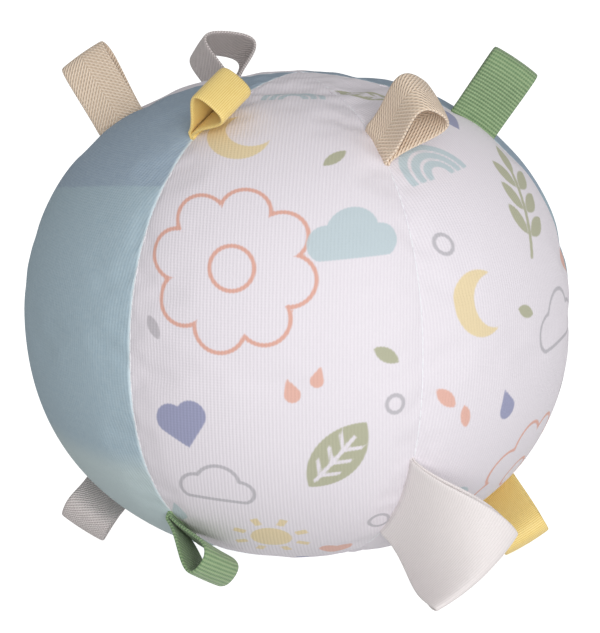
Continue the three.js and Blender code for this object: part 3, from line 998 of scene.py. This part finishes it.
def spun(bm, profile, steps):
    """Spins a profile of (distance, height) points, in mm, into a closed solid."""
    verts = [bm.verts.new(Vector((x, 0, z)) * MM) for x, z in profile]
    edges = [bm.edges.new(pair) for pair in zip(verts, verts[1:])]
    bmesh.ops.spin(bm, geom=verts + edges, cent=(0, 0, 0), axis=(0, 0, 1), angle=2 * math.pi,
                   steps=steps, use_merge=True)
    bmesh.ops.remove_doubles(bm, verts=bm.verts, dist=MERGE_DISTANCE)
    bmesh.ops.recalc_face_normals(bm, faces=bm.faces)


def filling_profile(side):
    """Half the outline of a wad: side is 1 above the middle and -1 below."""
    angles = np.linspace(QUARTER, LOWEST_ANGLE, PROFILE_POINTS)
    outer = [cover_point(0, 0, side * angle, FILLING_INSET) / MM for angle in angles]
    pocket = [(POCKET_RADIUS * math.cos(a), side * POCKET_RADIUS * math.sin(a)) for a in angles[::-3]]
    profile = [(0, outer[0].z)] + [(p.x, p.z) for p in outer[1:]]
    profile.append((outer[-1].x, side * PARTING))
    return profile + [(POCKET_RADIUS, side * PARTING)] + pocket[1:] + [(0, side * POCKET_RADIUS)]


for node, side in (("filling_upper", 1), ("filling_lower", -1)):
    bm = bmesh.new()
    spun(bm, filling_profile(side), SPIN_STEPS)
    for vert in bm.verts:
        level = math.hypot(vert.co.x, vert.co.y)
        if Vector((level, 0, vert.co.z)).length < (POCKET_RADIUS + CLEARANCE) * MM:
            continue
        share = ((math.atan2(vert.co.y, vert.co.x) - FIRST_SEAM) / HALF_GORE) % 2 - 1
        groove = GROOVE_DEPTH * min(1, level / MM / SEAM_FADE_RADIUS) * abs(share) ** GROOVE_SHARPNESS
        lump = LUMP * noise.noise(vert.co / (LUMP_SIZE * MM))
        height = vert.co.z
        vert.co -= outward(vert.co) * (groove + abs(lump)) * MM
        if abs(height) <= PARTING * MM * 1.01:
            vert.co.z = height
    wad = piece_from(bm, node + "_wad")
    subdivide(wad, 1)
    dress(wad, material, "ball", "filling", node)
print("filling wads: 2")

# %% [markdown]
# The rattle is two moulded half shells with loose beads. A turned shape is what spin is for: each shell
# is one closed profile with rounded rims. The beads keep the fine parting ridge of their mould.

# %% Rattle
RATTLE_RADIUS = 15.0
RATTLE_WALL = 1.5
LIP_LENGTH = 2.5
LIP_WALL = 1.0
BEAD_RADIUS = 2.5
BEAD_COUNT = 5
RIDGE = 0.06
RIDGE_ANGLE = 0.08
RIM_ROUNDING = 0.12
PEEL_SIZE = 0.8
ROUND_STEPS = 16
SHELL_STEPS = 64
BEAD_STEPS = 32


def moulded(name, colour_low, colour_high):
    """Moulded plastic: smooth, with a faint orange peel and a soft gloss."""
    material, tree = new_material(name)
    place = add(tree, "TexCoord").outputs["Object"]
    peel = add(tree, "TexNoise", {"Vector": place, "Scale": 1 / (PEEL_SIZE * MM), "Detail": 3.0})
    gloss = add(tree, "MapRange", {"Value": peel, "To Min": 0.28, "To Max": 0.42})
    finish_surface(tree, mixed(tree, peel, colour_low, colour_high), peel, relief=0.02, Roughness=gloss,
                   IOR=1.49)
    return material


def arc_points(radius, start, end):
    """Points of an arc about the middle, as (distance, height)."""
    return [(radius * math.cos(a), radius * math.sin(a)) for a in np.linspace(start, end, ROUND_STEPS)]


hollow = RATTLE_RADIUS - RATTLE_WALL
lip_radius = math.sqrt(hollow ** 2 - LIP_LENGTH ** 2) - CLEARANCE
lip_foot = math.asin((LIP_LENGTH + CLEARANCE) / hollow)
half_gap = CLEARANCE / 2
SHELLS = {
    "rattle_shell_lower": arc_points(RATTLE_RADIUS, -QUARTER, 0) + arc_points(hollow, 0, -QUARTER),
    "rattle_shell_upper": (
        [(lip_radius, -LIP_LENGTH), (lip_radius, half_gap)]
        + arc_points(RATTLE_RADIUS, half_gap / RATTLE_RADIUS, QUARTER) + arc_points(hollow, QUARTER, lip_foot)
        + [(lip_radius - LIP_WALL, LIP_LENGTH + CLEARANCE), (lip_radius - LIP_WALL, -LIP_LENGTH),
           (lip_radius, -LIP_LENGTH)]
    ),
}
shell_plastic = moulded("moulded_polypropylene_shell", "dfdfda", "efefeb")
for node, profile in SHELLS.items():
    bm = bmesh.new()
    spun(bm, profile, SHELL_STEPS)
    shell = piece_from(bm, node.replace("shell", "half"))
    rim = shell.modifiers.new("rounded_rim", "BEVEL")
    rim.width = RIM_ROUNDING * MM
    rim.segments = 2
    rim.limit_method = "ANGLE"
    dress(shell, shell_plastic, "ball", "rattle_shell", node)

bead_plastic = moulded("moulded_polystyrene_bead", "cf9a3c", "e0ad52")
for number in range(1, BEAD_COUNT + 1):
    node = f"rattle_bead_{number}"
    low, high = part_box(node)
    bm = bmesh.new()
    profile = arc_points(BEAD_RADIUS, -QUARTER, -RIDGE_ANGLE) + [(BEAD_RADIUS + RIDGE, 0)]
    spun(bm, profile + arc_points(BEAD_RADIUS, RIDGE_ANGLE, QUARTER), BEAD_STEPS)
    bmesh.ops.translate(bm, verts=bm.verts, vec=(low + high) / 2)
    bead = piece_from(bm, node.replace("rattle_bead", "bead_moulded"))
    dress(bead, bead_plastic, f"bead_{number}", "rattle_bead", node)
print("beads:", BEAD_COUNT, "shells:", len(SHELLS))
